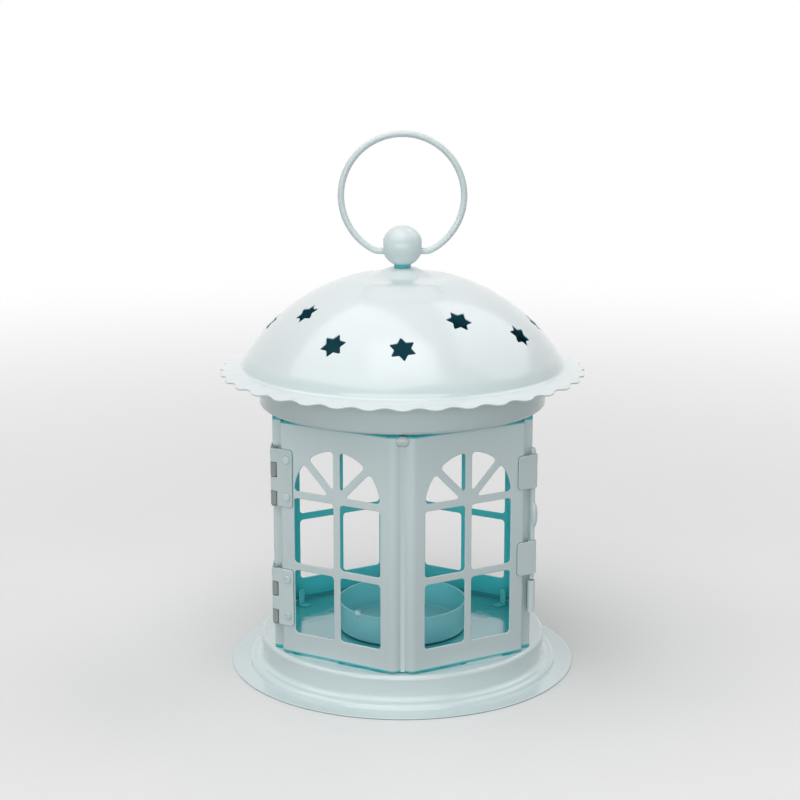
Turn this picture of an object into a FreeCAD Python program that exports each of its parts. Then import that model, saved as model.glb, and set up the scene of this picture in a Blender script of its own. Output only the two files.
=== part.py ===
# Six-sided tealight lantern in painted sheet metal: dished base, four fixed walls, a two-panel door on
# hinges with a drop bolt, a crown ring, a domed roof pierced with stars and a swinging ring handle.
# Millimetres, +Z up, origin under the middle of the base, door corner towards -Y.

import FreeCAD, Part
import Sketcher
import math
import os
import re

from FreeCAD import Placement, Rotation, Vector

UP = Vector(0, 0, 1)
SMALL = 1e-4  # lengths and volumes below this count as none

# Driving sizes. A rise is measured up from the lantern's floor, a drop down from the top of its walls.
SIZES = {
    "sheet_gauge": 0.6,
    "leaf_gauge": 0.5,
    "seat_gap": 0.05,
    "pin_clearance": 0.05,
    "floor_height": 10.5,
    "plateau_margin": 1.05,
    "plateau_round": 1.4,
    "cove_round": 1.5,
    "bead_land": 0.6,
    "bead_round": 1.8,
    "rim_width": 5.8,
    "panel_apothem": 41.4,
    "panel_height": 77.5,
    "shoulder_setback": 3.1,
    "shoulder_round": 1.2,
    "corner_round": 2.6,
    "shoulder_bend": 70.0,
    "weld_seam": 0.1,
    "swing_seam": 0.6,
    "door_gap": 0.5,
    "window_width": 31.6,
    "back_window_shift": 1.5,
    "bar_width": 2.4,
    "sill_rise": 7.6,
    "arch_drop": 8.0,
    "rail_offset": 0.75,
    "pane_round": 1.2,
    "fork_round": 0.6,
    "hinge_height": 18.8,
    "upper_hinge_drop": 18.9,
    "lower_hinge_rise": 19.0,
    "hinge_barrel": 1.3,
    "knuckle_gap": 0.2,
    "notch_gap": 0.35,
    "leaf_reach": 7.3,
    "leaf_round": 1.2,
    "rivet_radius": 0.7,
    "rivet_head": 1.3,
    "rivet_head_height": 0.32,
    "rivet_bevel": 0.2,
    "rivet_reach": 5.2,
    "rivet_inset": 3.3,
    "strap_height": 11.0,
    "upper_strap_drop": 11.8,
    "lower_strap_rise": 26.1,
    "strap_reach": 6.2,
    "bolt_radius": 0.8,
    "bolt_clearance": 0.1,
    "bolt_standoff": 0.1,
    "bolt_drop": 4.0,
    "bolt_top": 2.1,
    "finger_height": 8.4,
    "finger_radius": 1.15,
    "finger_offset": 0.6,
    "keeper_height": 10.7,
    "keeper_wall": 0.35,
    "keeper_gap": 2.4,
    "bolt_tip_gap": 0.4,
    "finger_gap": 0.3,
    "keeper_reach": 6.8,
    "weld_width": 2.6,
    "weld_depth": 1.3,
    "weld_height": 1.7,
    "weld_fill": 0.5,
    "clip_width": 2.7,
    "clip_height": 5.5,
    "clip_foot": 3.4,
    "clip_round": 0.9,
    "clip_setback": 2.75,
    "cup_radius": 21.35,
    "cup_height": 9.7,
    "cup_round": 1.0,
    "cup_rivet_radius": 1.5,
    "cup_rivet_head": 3.0,
    "cup_rivet_height": 0.6,
    "cup_rivet_bevel": 0.3,
    "crown_margin": 0.45,
    "crown_height": 12.5,
    "crown_round": 1.2,
    "crown_lip": 3.9,
    "crown_lap": 2.3,
    "dome_margin": 5.3,
    "dome_rise": 29.0,
    "dome_wall": 2.0,
    "foot_flare": 0.25,
    "foot_round": 1.0,
    "brim_width": 6.05,
    "brim_fall": 1.3,
    "scallop_count": 36,
    "scallop_round": 7.0,
    "scallop_depth": 1.0,
    "valley_radius": 16.8,
    "boss_foot": 9.6,
    "boss_foot_height": 0.5,
    "boss_top": 4.4,
    "boss_height": 3.2,
    "star_tip": 4.4,
    "star_valley": 2.6,
    "star_inset": 9.3,
    "star_step": 7.7,
    "roof_drop_radius": 1.0,
    "collar_radius": 2.75,
    "collar_height": 1.1,
    "screw_radius": 1.5,
    "screw_head": 2.9,
    "screw_head_height": 1.6,
    "screw_bevel": 0.8,
    "screw_bite": 1.9,
    "ball_radius": 6.6,
    "ball_seat": 3.3,
    "ball_hole": 2.5,
    "ring_wire": 1.05,
    "ring_radius": 19.7,
    "ring_stub": 0.63,
    "ring_drop": 1.7,
    "ring_bend": 5.0,
    "ring_end_gap": 2.0,
    "ring_clearance": 0.15,
}

# Worked-out sizes, each a formula on the driving sizes and on the ones above it.
DERIVED = {
    "half_side": "Sizes.panel_apothem * tan(30)",
    "shoulder_x": "half_side - Sizes.shoulder_setback",
    "shoulder_reach": "shoulder_x * sin(30) + Sizes.panel_apothem * cos(30)",
    "flange_slope": "Sizes.shoulder_bend - 30",
    "flange_run": "(Sizes.shoulder_setback * cos(30) - Sizes.weld_seam / 2) / cos(flange_slope)",
    "flange_back": "flange_run + Sizes.sheet_gauge * tan(flange_slope)",
    "flange_fall": "flange_back * sin(flange_slope) + Sizes.sheet_gauge * cos(flange_slope)",
    "groove_reach": "shoulder_reach - flange_run * sin(flange_slope)",
    "groove_width": "Sizes.weld_seam + 2 * Sizes.weld_fill / tan(flange_slope)",
    "clip_radius": "shoulder_reach - flange_fall - Sizes.clip_setback",
    "wall_bottom": "Sizes.floor_height + Sizes.seat_gap",
    "crown_bottom": "Sizes.floor_height + Sizes.panel_height",
    "wall_top": "crown_bottom - Sizes.seat_gap",
    "door_bottom": "Sizes.floor_height + Sizes.door_gap",
    "door_top": "crown_bottom - Sizes.door_gap",
    "sill_height": "Sizes.floor_height + Sizes.sill_rise",
    "transom_height": "crown_bottom - Sizes.arch_drop - Sizes.window_width / 2",
    "rail_height": "(sill_height + transom_height) / 2 - Sizes.rail_offset",
    "plateau_radius": "shoulder_reach + Sizes.plateau_margin",
    "cove_radius": "plateau_radius + Sizes.cove_round",
    "bead_radius": "cove_radius + Sizes.bead_land",
    "rim_radius": "bead_radius + Sizes.bead_round",
    "base_radius": "rim_radius + Sizes.rim_width",
    "bead_height": "Sizes.sheet_gauge + Sizes.bead_round",
    "cove_height": "bead_height + Sizes.cove_round",
    "leaf_back": "Sizes.panel_apothem + Sizes.seat_gap",
    "leaf_face": "leaf_back + Sizes.leaf_gauge",
    "hinge_bore": "Sizes.hinge_barrel - Sizes.leaf_gauge",
    "hinge_apothem": "leaf_face - Sizes.hinge_barrel",
    "hinge_x": "hinge_apothem * tan(30)",
    "knuckle_pitch": "Sizes.hinge_height / 4",
    "pin_head": "(hinge_bore + Sizes.hinge_barrel) / 2",
    "upper_hinge": "crown_bottom - Sizes.upper_hinge_drop",
    "lower_hinge": "Sizes.floor_height + Sizes.lower_hinge_rise",
    "bolt_bore": "Sizes.bolt_radius + Sizes.bolt_clearance",
    "strap_loop": "bolt_bore + Sizes.leaf_gauge",
    "bolt_door_apothem": "leaf_face - strap_loop",
    "bolt_wall_apothem": "Sizes.panel_apothem + Sizes.bolt_standoff",
    "bolt_x": "(bolt_wall_apothem - bolt_door_apothem * cos(60)) / sin(60)",
    "keeper_x": "(bolt_door_apothem - bolt_wall_apothem * cos(60)) / sin(60)",
    "keeper_radius": "bolt_bore + Sizes.keeper_wall",
    "lower_strap_bottom": "Sizes.floor_height + Sizes.lower_strap_rise",
    "upper_strap_bottom": "crown_bottom - Sizes.upper_strap_drop - Sizes.strap_height",
    "keeper_top": "lower_strap_bottom - Sizes.keeper_gap",
    "keeper_bottom": "keeper_top - Sizes.keeper_height",
    "bolt_tip": "keeper_top + Sizes.bolt_tip_gap",
    "bolt_end": "upper_strap_bottom + Sizes.strap_height + Sizes.bolt_top",
    "finger_bottom": "lower_strap_bottom + Sizes.strap_height + Sizes.bolt_drop + Sizes.finger_gap",
    "cup_floor": "Sizes.floor_height + Sizes.seat_gap",
    "cup_inside": "cup_floor + Sizes.leaf_gauge",
    "crown_radius": "shoulder_reach + Sizes.crown_margin",
    "crown_inside": "crown_radius - Sizes.sheet_gauge",
    "crown_opening": "Sizes.panel_apothem - Sizes.crown_lip",
    "brim_height": "crown_bottom + Sizes.crown_height",
    "dome_foot": "crown_radius + Sizes.dome_margin",
    "dome_radius": "(dome_foot ^ 2 + Sizes.dome_rise ^ 2) / (2 * Sizes.dome_rise)",
    "dome_inner_radius": "dome_radius - Sizes.sheet_gauge",
    "dome_centre": "brim_height + Sizes.dome_wall + Sizes.dome_rise - dome_radius",
    "foot_inner": "dome_foot - Sizes.sheet_gauge",
    "foot_x": "dome_foot + Sizes.foot_flare",
    "brim_inner": "foot_x + Sizes.foot_round",
    "brim_radius": "brim_inner + Sizes.brim_width",
    "brim_slope": "Sizes.brim_fall / Sizes.brim_width",
    "crown_lap_radius": "brim_inner + Sizes.crown_lap",
    "crown_seat": "brim_height - Sizes.sheet_gauge - Sizes.seat_gap",
    "valley_height": "dome_centre + sqrt(dome_radius ^ 2 - Sizes.valley_radius ^ 2)",
    "valley_inner": "dome_centre + sqrt(dome_inner_radius ^ 2 - Sizes.valley_radius ^ 2)",
    "lower_star_reach": "dome_foot - Sizes.star_inset",
    "upper_star_reach": "lower_star_reach - Sizes.star_step",
    "star_cut": "4 * (Sizes.sheet_gauge + Sizes.star_tip ^ 2 / dome_radius)",
    "boss_foot_z": "valley_height + Sizes.boss_foot_height",
    "boss_z": "valley_height + Sizes.boss_height",
    "collar_bottom": "boss_z + Sizes.seat_gap",
    "collar_top": "collar_bottom + Sizes.collar_height",
    "ball_bottom": "collar_top + Sizes.seat_gap",
    "ball_centre": "ball_bottom + sqrt(Sizes.ball_radius ^ 2 - Sizes.ball_seat ^ 2)",
    "screw_hole": "Sizes.screw_radius + Sizes.pin_clearance",
    "screw_seat": "boss_z - Sizes.sheet_gauge - Sizes.seat_gap",
    "screw_tip": "ball_bottom + Sizes.screw_bite",
    "ring_axis": "ball_centre - Sizes.ring_drop",
    "ring_bend_x": "Sizes.ball_radius + Sizes.ring_stub",
    "ring_hub": "sqrt((Sizes.ring_radius - Sizes.ring_bend) ^ 2 - ring_bend_x ^ 2)",
    "ring_centre": "ring_axis + Sizes.ring_bend + ring_hub",
    "ball_hole_z": "ring_axis - Sizes.ring_wire - Sizes.ring_clearance + Sizes.ball_hole",
    "ring_share": "Sizes.ring_radius / (Sizes.ring_radius - Sizes.ring_bend)",
    "ring_join_x": "ring_bend_x * ring_share",
    "ring_join_z": "ring_centre - ring_hub * ring_share",
}

# Turn of each wall about +Z from the direction in which a panel is drawn, which faces -Y.
DOOR_LEFT, DOOR_RIGHT = -30, 30
WALL_LEFT, WALL_RIGHT = -90, 90
BACK_LEFT, BACK_RIGHT = 210, 150
WELDED_WALL_CORNERS = (30, 90, 150)
DOOR_CORNER = -90

# Stars of the roof: how far out they lie, the turn of the first of each four, and its twist, in degrees.
STAR_ROWS = (("lower_star_reach", 0, 8), ("lower_star_reach", -30, -6), ("upper_star_reach", 30, 14))
STARS_PER_ROW = 4
STAR_ARMS = 6
ROOF_DROPS = 6

doc = FreeCAD.newDocument("lantern")
pieces = []


def fill_sheet(name, cells, mark):
    """Write one named cell per row; mark is put before each value."""
    sheet = doc.addObject("Spreadsheet::Sheet", name)
    for row, (alias, value) in enumerate(cells.items(), start=1):
        sheet.set(f"A{row}", alias)
        sheet.setAlias(f"B{row}", alias)
        sheet.set(f"B{row}", f"{mark}{value}")
    doc.recompute()
    return sheet


sizes = fill_sheet("Sizes", SIZES, "")
derived = fill_sheet("Derived", DERIVED, "=")


def size(alias):
    """The number in a cell of either sheet."""
    return float(getattr(sizes if alias in SIZES else derived, alias))


def own(alias):
    """The reference that an expression uses for a cell of either sheet."""
    return f"Sizes.{alias}" if alias in SIZES else f"Derived.{alias}"


def cells(text):
    """Turn the words of a short formula into references to the cells that they name."""
    def reference(word):
        known = word.group() in SIZES or word.group() in DERIVED
        return own(word.group()) if known else word.group()
    return re.sub("[a-z_]+", reference, text)


def turned(degrees):
    return Placement(Vector(), Rotation(UP, degrees))


def new_body(label, keep=True):
    body = doc.addObject("PartDesign::Body", label)
    body.Label = label
    if keep:
        pieces.append(body)
    return body


def origin_part(body, role):
    return next(part for part in body.Origin.OriginFeatures if part.Role == role)


def new_sketch(body, plane, lift=None):
    """A sketch on one of the body's own planes, lifted along that plane's normal."""
    sketch = body.newObject("Sketcher::SketchObject", f"{body.Name}_sketch")
    sketch.AttachmentSupport = (origin_part(body, plane), [""])
    sketch.MapMode = "FlatFace"
    if lift:
        sketch.setExpression("AttachmentOffset.Base.z", cells(lift))
    return sketch


def bind(sketch, constraint, formula):
    """Add a dimension to a sketch and tie it to its formula."""
    index = sketch.addConstraint(constraint)
    sketch.setExpression(f"Constraints[{index}]", formula)


def place_point(sketch, edge, end, formulas):
    """Fix one end of an edge; a formula of 0 puts it on the sketch's own axis."""
    axes = (("DistanceX", -2), ("DistanceY", -1))
    for formula, (kind, axis) in zip(formulas, axes):
        if formula == "0":
            sketch.addConstraint(Sketcher.Constraint("PointOnObject", edge, end, axis))
        else:
            text = cells(formula)
            value = float(sketch.evalExpression(text))
            bind(sketch, Sketcher.Constraint(kind, -1, 1, edge, end, value), text)


def arc_between(start, end, radius, turn):
    """The shorter arc from start to end, with its centre on the left or on the right."""
    chord = end - start
    height = math.sqrt(radius ** 2 - (chord.Length / 2) ** 2)
    aside = Vector(-chord.y, chord.x, 0).normalize() * height
    centre = (start + end) / 2 + (aside if turn == "left" else -aside)
    first, last = (start, end) if turn == "left" else (end, start)
    angles = [math.atan2(point.y - centre.y, point.x - centre.x) for point in (first, last)]
    return Part.ArcOfCircle(Part.Circle(centre, UP, radius), *angles)


def outline(sketch, points):
    """Close an outline through points (x, y), or (x, y, radius, turn) where an arc leaves the point."""
    spots = []
    for point in points:
        values = [float(sketch.evalExpression(cells(formula))) for formula in point[:2]]
        spots.append(Vector(*values, 0))
    edges = []
    for index, point in enumerate(points):
        start, end = spots[index], spots[(index + 1) % len(spots)]
        if len(point) == 2:
            edge = sketch.addGeometry(Part.LineSegment(start, end))
            edges.append((edge, 1, 2))
            continue
        radius = float(sketch.evalExpression(cells(point[2])))
        edge = sketch.addGeometry(arc_between(start, end, radius, point[3]))
        edges.append((edge, 1, 2) if point[3] == "left" else (edge, 2, 1))
    for index, (edge, start, end) in enumerate(edges):
        following = edges[(index + 1) % len(edges)]
        sketch.addConstraint(Sketcher.Constraint("Coincident", edge, end, following[0], following[1]))
    for (edge, start, end), point in zip(edges, points):
        place_point(sketch, edge, start, point[:2])
    for (edge, start, end), point in zip(edges, points):
        if len(point) == 4:
            text = cells(point[2])
            value = float(sketch.evalExpression(text))
            bind(sketch, Sketcher.Constraint("Radius", edge, value), text)


def circle(sketch, x, y, radius):
    values = [float(sketch.evalExpression(cells(formula))) for formula in (x, y, radius)]
    edge = sketch.addGeometry(Part.Circle(Vector(values[0], values[1], 0), UP, values[2]))
    place_point(sketch, edge, 3, (x, y))
    bind(sketch, Sketcher.Constraint("Radius", edge, values[2]), cells(radius))


def box_outline(sketch, low_x, high_x, low_y, high_y):
    outline(sketch, [(low_x, low_y), (high_x, low_y), (high_x, high_y), (low_x, high_y)])


def pad(body, sketch, length):
    feature = body.newObject("PartDesign::Pad", f"{body.Name}_pad")
    feature.Profile = sketch
    feature.setExpression("Length", cells(length))
    return feature


def pocket(body, sketch, length=None):
    """Cut evenly to both sides of the sketch, right through if no length is given."""
    feature = body.newObject("PartDesign::Pocket", f"{body.Name}_pocket")
    feature.Profile = sketch
    feature.SideType = "Symmetric"
    if length:
        feature.setExpression("Length", cells(length))
    else:
        feature.Type = "ThroughAll"
    return feature


def checked_cut(feature):
    """Recompute a cut and make sure that it took something away."""
    before = feature.BaseFeature.Shape.Volume
    doc.recompute()
    if not feature.Shape.Volume < before - SMALL:
        raise RuntimeError(f"{feature.Name} cuts nothing")


def around_axis(body, originals, count):
    """Repeat features evenly round the vertical axis."""
    pattern = body.newObject("PartDesign::PolarPattern", f"{body.Name}_pattern")
    pattern.Originals = originals
    pattern.Axis = (origin_part(body, "Z_Axis"), [""])
    pattern.Angle = 360
    if isinstance(count, str):
        pattern.setExpression("Occurrences", cells(count))
    else:
        pattern.Occurrences = count
    body.Tip = pattern
    doc.recompute()
    return pattern


def turned_piece(label, points, keep=True):
    """A piece turned on the vertical axis from an outline of (radius, height) points."""
    body = new_body(label, keep)
    sketch = new_sketch(body, "XZ_Plane")
    outline(sketch, points)
    feature = body.newObject("PartDesign::Revolution", f"{label}_turned")
    feature.Profile = sketch
    feature.ReferenceAxis = (sketch, ["V_Axis"])
    feature.Angle = 360
    doc.recompute()
    return body


def round_edges(body, radius, wanted):
    """Round the edges of the body's last feature for which wanted(edge) is true."""
    doc.recompute()
    base = body.Tip
    names = [f"Edge{n}" for n, edge in enumerate(base.Shape.Edges, start=1) if wanted(edge)]
    feature = body.newObject("PartDesign::Fillet", f"{body.Name}_fillet")
    feature.Base = (base, names)
    feature.setExpression("Radius", cells(radius))
    doc.recompute()
    return feature


def grouped(label, shapes):
    """One sub-part made of several separate solids."""
    feature = doc.addObject("Part::Feature", label)
    feature.Label = label
    feature.Shape = Part.makeCompound(shapes)
    feature.Placement = Placement()
    pieces.append(feature)
    return feature


def placed_copy(master, placement):
    copy = master.Shape.copy()
    copy.Placement = placement.multiply(copy.Placement)
    return copy


# Base: a pressed dish with a flat rim, a bead, a cove, a straight wall and the lantern's floor.
def make_base():
    inner_wall = "plateau_radius - sheet_gauge"
    turned_piece("base_dish", [
        ("cup_rivet_radius + pin_clearance", "floor_height"),
        ("plateau_radius - plateau_round", "floor_height", "plateau_round", "right"),
        ("plateau_radius", "floor_height - plateau_round"),
        ("plateau_radius", "cove_height", "cove_round", "left"),
        ("cove_radius", "bead_height"),
        ("bead_radius", "bead_height", "bead_round", "right"),
        ("rim_radius", "sheet_gauge"),
        ("base_radius", "sheet_gauge"),
        ("base_radius", "0"),
        ("rim_radius - sheet_gauge", "0"),
        ("rim_radius - sheet_gauge", "sheet_gauge", "bead_round - sheet_gauge", "left"),
        ("bead_radius", "bead_round"),
        ("cove_radius", "bead_round", "cove_round + sheet_gauge", "right"),
        (inner_wall, "cove_height"),
        (inner_wall, "floor_height - plateau_round", "plateau_round - sheet_gauge", "left"),
        ("plateau_radius - plateau_round", "floor_height - sheet_gauge"),
        ("cup_rivet_radius + pin_clearance", "floor_height - sheet_gauge"),
    ])


# Candle cup and the rivet that holds it to the floor.
def make_candle_cup():
    inner_wall = "cup_radius - leaf_gauge"
    bore = "cup_rivet_radius + pin_clearance"
    rim = "floor_height + cup_height"
    turned_piece("candle_cup", [
        (bore, "cup_floor"),
        ("cup_radius - cup_round", "cup_floor", "cup_round", "left"),
        ("cup_radius", "cup_floor + cup_round"),
        ("cup_radius", rim),
        (inner_wall, rim),
        (inner_wall, "cup_floor + cup_round", "cup_round - leaf_gauge", "right"),
        ("cup_radius - cup_round", "cup_inside"),
        (bore, "cup_inside"),
    ])
    head_bottom = "cup_inside + seat_gap"
    tail_top = "floor_height - sheet_gauge - seat_gap"
    turned_piece("cup_rivet", [
        ("0", f"{tail_top} - cup_rivet_height"),
        ("cup_rivet_head", f"{tail_top} - cup_rivet_height"),
        ("cup_rivet_head", tail_top),
        ("cup_rivet_radius", tail_top),
        ("cup_rivet_radius", head_bottom),
        ("cup_rivet_head", head_bottom),
        ("cup_rivet_head", f"{head_bottom} + cup_rivet_height - cup_rivet_bevel"),
        ("cup_rivet_head - cup_rivet_bevel", f"{head_bottom} + cup_rivet_height"),
        ("0", f"{head_bottom} + cup_rivet_height"),
    ])


# Panels: sheet with a bent flange down each side and a window of eight panes. Each seam has its own bend.
SEAM_BENDS = {"weld_seam": "corner_round", "swing_seam": "shoulder_round"}


def panel_section(sketch, left_seam, right_seam):
    """The plan of one panel; each seam is the whole gap between its flange and the next panel's."""
    outer, inner, bends = {}, {}, {}
    for side, seam in ((-1, left_seam), (1, right_seam)):
        bend = SEAM_BENDS[seam]
        inner_bend = f"( {bend} - sheet_gauge )"
        bend_x = f"shoulder_x - {bend} * tan(shoulder_bend / 2)"
        bend_y = f"panel_apothem - {bend}"
        run = f"( ( shoulder_setback * cos(30) - {seam} / 2 ) / cos(flange_slope) )"
        back = f"( {run} + sheet_gauge * tan(flange_slope) )"
        tip_x = f"shoulder_x + {run} * cos(shoulder_bend)"
        tip_y = f"panel_apothem - {run} * sin(shoulder_bend)"
        heel_x = f"shoulder_x + {back} * cos(shoulder_bend) - sheet_gauge * sin(shoulder_bend)"
        heel_y = f"panel_apothem - {back} * sin(shoulder_bend) - sheet_gauge * cos(shoulder_bend)"
        bends[side] = (bend, inner_bend)
        outer[side] = [
            (f"{side} * ( {tip_x} )", f"-1 * ( {tip_y} )"),
            (f"{side} * ( {bend_x} + {bend} * sin(shoulder_bend) )",
             f"-1 * ( {bend_y} + {bend} * cos(shoulder_bend) )"),
            (f"{side} * ( {bend_x} )", "-1 * panel_apothem"),
        ]
        inner[side] = [
            (f"{side} * ( {heel_x} )", f"-1 * ( {heel_y} )"),
            (f"{side} * ( {bend_x} + {inner_bend} * sin(shoulder_bend) )",
             f"-1 * ( {bend_y} + {inner_bend} * cos(shoulder_bend) )"),
            (f"{side} * ( {bend_x} )", "-1 * ( panel_apothem - sheet_gauge )"),
        ]
    outline(sketch, [
        outer[-1][0],
        outer[-1][1] + (bends[-1][0], "left"),
        outer[-1][2],
        outer[1][2] + (bends[1][0], "left"),
        outer[1][1],
        outer[1][0],
        inner[1][0],
        inner[1][1] + (bends[1][1], "right"),
        inner[1][2],
        inner[-1][2] + (bends[-1][1], "right"),
        inner[-1][1],
        inner[-1][0],
    ])


def window_panes(sketch, middle):
    """Four square panes and, above the transom, four panes of a fan, about a middle line."""
    bar = "bar_width / 2"
    side = "window_width / 2"
    sill, rail, transom = "sill_height", "rail_height", "transom_height"
    fork = "( bar_width / 2 + bar_width / sqrt(2) )"
    arch_rise = "sqrt(( window_width / 2 ) ^ 2 - ( bar_width / 2 ) ^ 2)"
    spoke_near = "( ( sqrt(window_width ^ 2 - bar_width ^ 2) - bar_width ) / sqrt(8) )"
    spoke_far = "( ( sqrt(window_width ^ 2 - bar_width ^ 2) + bar_width ) / sqrt(8) )"
    for hand in (-1, 1):
        turn = "left" if hand == 1 else "right"
        away = f"{middle} + {hand}"
        for low, high in ((sill, f"{rail} - {bar}"), (f"{rail} + {bar}", f"{transom} - {bar}")):
            box_outline(sketch, f"{away} * {bar}", f"{away} * {side}", low, high)
        outline(sketch, [
            (f"{away} * {fork}", f"{transom} + {bar}"),
            (f"{away} * {arch_rise}", f"{transom} + {bar}", side, turn),
            (f"{away} * {spoke_far}", f"{transom} + {spoke_near}"),
        ])
        outline(sketch, [
            (f"{away} * {bar}", f"{transom} + {fork}"),
            (f"{away} * {spoke_near}", f"{transom} + {spoke_far}", side, turn),
            (f"{away} * {bar}", f"{transom} + {arch_rise}"),
        ])


def make_panel(label, turn, seams, span, shift=0):
    """seams are the panel's left and right seam, span its bottom and top, shift its window's side or 0."""
    bottom, top = span
    body = new_body(label)
    section = new_sketch(body, "XY_Plane", bottom)
    panel_section(section, *seams)
    pad(body, section, f"{top} - {bottom}")
    doc.recompute()
    panes = new_sketch(body, "XZ_Plane")
    window_panes(panes, f"{shift} * back_window_shift")
    checked_cut(pocket(body, panes))
    hub = Vector(shift * size("back_window_shift"), 0, size("transom_height"))
    half_window = size("window_width") / 2 + size("sheet_gauge")
    fork_reach = 2 * size("bar_width")

    def pane_corner(edge):
        ends = [vertex.Point for vertex in edge.Vertexes]
        if len(ends) != 2:
            return False
        run = ends[1] - ends[0]
        across = abs(run.x) < SMALL and abs(run.z) < SMALL
        return across and abs(ends[0].x - hub.x) < half_window

    def fork_corner(edge):
        spot = edge.Vertexes[0].Point
        above = spot.z > hub.z
        return above and math.hypot(spot.x - hub.x, spot.z - hub.z) < fork_reach and pane_corner(edge)
    round_edges(body, "pane_round", lambda edge: pane_corner(edge) and not fork_corner(edge))
    round_edges(body, "fork_round", fork_corner)
    body.Placement = turned(turn)
    return body


# Leaves: sheet that lies on a panel and curls into a loop round a pin or a bolt at the panel's edge.
def make_leaf(label, turn, hand, axis_x, axis_y, reach, loop, bore, bottom, height, loops, bridge):
    """hand is -1 or 1 for a loop at the panel's left or right; loops are (bottom, height) pairs."""
    body = new_body(label)
    notched = len(loops) > 1
    root = f"{axis_x} - {loop} - notch_gap" if notched else f"{axis_x} - {bridge}"
    plate = new_sketch(body, "XY_Plane", bottom)
    low, high = "-1 * leaf_face", "-1 * leaf_back"
    box_outline(plate, f"{hand} * ( {axis_x} - {reach} )", f"{hand} * ( {root} )", low, high)
    pad(body, plate, height)
    for loop_bottom, loop_height in loops:
        tube = new_sketch(body, "XY_Plane", loop_bottom)
        circle(tube, f"{hand} * {axis_x}", f"-1 * {axis_y}", loop)
        circle(tube, f"{hand} * {axis_x}", f"-1 * {axis_y}", bore)
        if notched:
            link = new_sketch(body, "XY_Plane", loop_bottom)
            box_outline(link, f"{hand} * ( {root} )", f"{hand} * ( {axis_x} - {bridge} )", low, high)
            pad(body, link, loop_height)
        pad(body, tube, loop_height)
    tail_x = hand * (size(axis_x) - size(reach))

    def tail_corner(edge):
        box = edge.BoundBox
        along = box.YLength > SMALL and box.XLength < SMALL and box.ZLength < SMALL
        return along and abs(box.XMin - tail_x) < SMALL
    round_edges(body, "leaf_round", tail_corner)
    body.Placement = turned(turn)
    return body


def make_hinge(name):
    """A butt hinge: four knuckles from the bottom, wall, door, wall, door, on one pin."""
    bottom = f"{name}_hinge - hinge_height / 2"
    top = f"{name}_hinge + hinge_height / 2"
    for owner, turn, hand, first in (("wall", WALL_LEFT, 1, 0), ("door", DOOR_LEFT, -1, 1)):
        loops = [
            (f"{bottom} + {step} * knuckle_pitch + knuckle_gap / 2", "knuckle_pitch - knuckle_gap")
            for step in (first, first + 2)
        ]
        leaf = make_leaf(
            f"hinge_leaf_{owner}_{name}", turn, hand, "hinge_x", "hinge_apothem", "leaf_reach",
            "hinge_barrel", "hinge_bore", bottom, "hinge_height", loops, "0")
        rivet_line = new_sketch(leaf, "XZ_Plane")
        for height in (f"{bottom} + rivet_inset", f"{top} - rivet_inset"):
            circle(rivet_line, f"{hand} * ( hinge_x - rivet_reach )", height, "rivet_radius + pin_clearance")
        checked_cut(pocket(leaf, rivet_line))
    pin = turned_piece(f"hinge_pin_{name}", [
        ("0", f"{bottom} - rivet_head_height"),
        ("pin_head", f"{bottom} - rivet_head_height"),
        ("pin_head", bottom),
        ("hinge_bore - pin_clearance", bottom),
        ("hinge_bore - pin_clearance", top),
        ("pin_head", top),
        ("pin_head", f"{top} + rivet_head_height"),
        ("0", f"{top} + rivet_head_height"),
    ])
    corner = turned(WALL_LEFT).multVec(Vector(size("hinge_x"), -size("hinge_apothem"), 0))
    pin.Placement = Placement(corner, Rotation())


def drill_for_rivets(panel, hand):
    """Rivet holes in a panel, in line with those in the hinge leaves on it."""
    holes = new_sketch(panel, "XZ_Plane")
    for hinge in ("upper_hinge", "lower_hinge"):
        for side in (-1, 1):
            height = f"{hinge} + {side} * ( hinge_height / 2 - rivet_inset )"
            circle(holes, f"{hand} * ( hinge_x - rivet_reach )", height, "rivet_radius + pin_clearance")
    checked_cut(pocket(panel, holes))


def make_hinge_rivets():
    outer = "leaf_face + seat_gap"
    inner = "panel_apothem - sheet_gauge - seat_gap"
    master = turned_piece("hinge_rivet", [
        ("0", f"{inner} - rivet_head_height"),
        ("rivet_head - rivet_bevel", f"{inner} - rivet_head_height"),
        ("rivet_head - rivet_bevel", inner),
        ("rivet_radius", inner),
        ("rivet_radius", outer),
        ("rivet_head", outer),
        ("rivet_head", f"{outer} + rivet_head_height - rivet_bevel"),
        ("rivet_head - rivet_bevel", f"{outer} + rivet_head_height"),
        ("0", f"{outer} + rivet_head_height"),
    ], keep=False)
    outwards = Rotation(Vector(1, 0, 0), 90)
    for owner, turn, hand in (("door", DOOR_LEFT, -1), ("wall", WALL_LEFT, 1)):
        shapes = []
        for hinge in ("upper_hinge", "lower_hinge"):
            for side in (-1, 1):
                height = size(hinge) + side * (size("hinge_height") / 2 - size("rivet_inset"))
                spot = Vector(hand * (size("hinge_x") - size("rivet_reach")), 0, height)
                shapes.append(placed_copy(master, turned(turn).multiply(Placement(spot, outwards))))
        grouped(f"hinge_rivets_{owner}", shapes)


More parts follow.
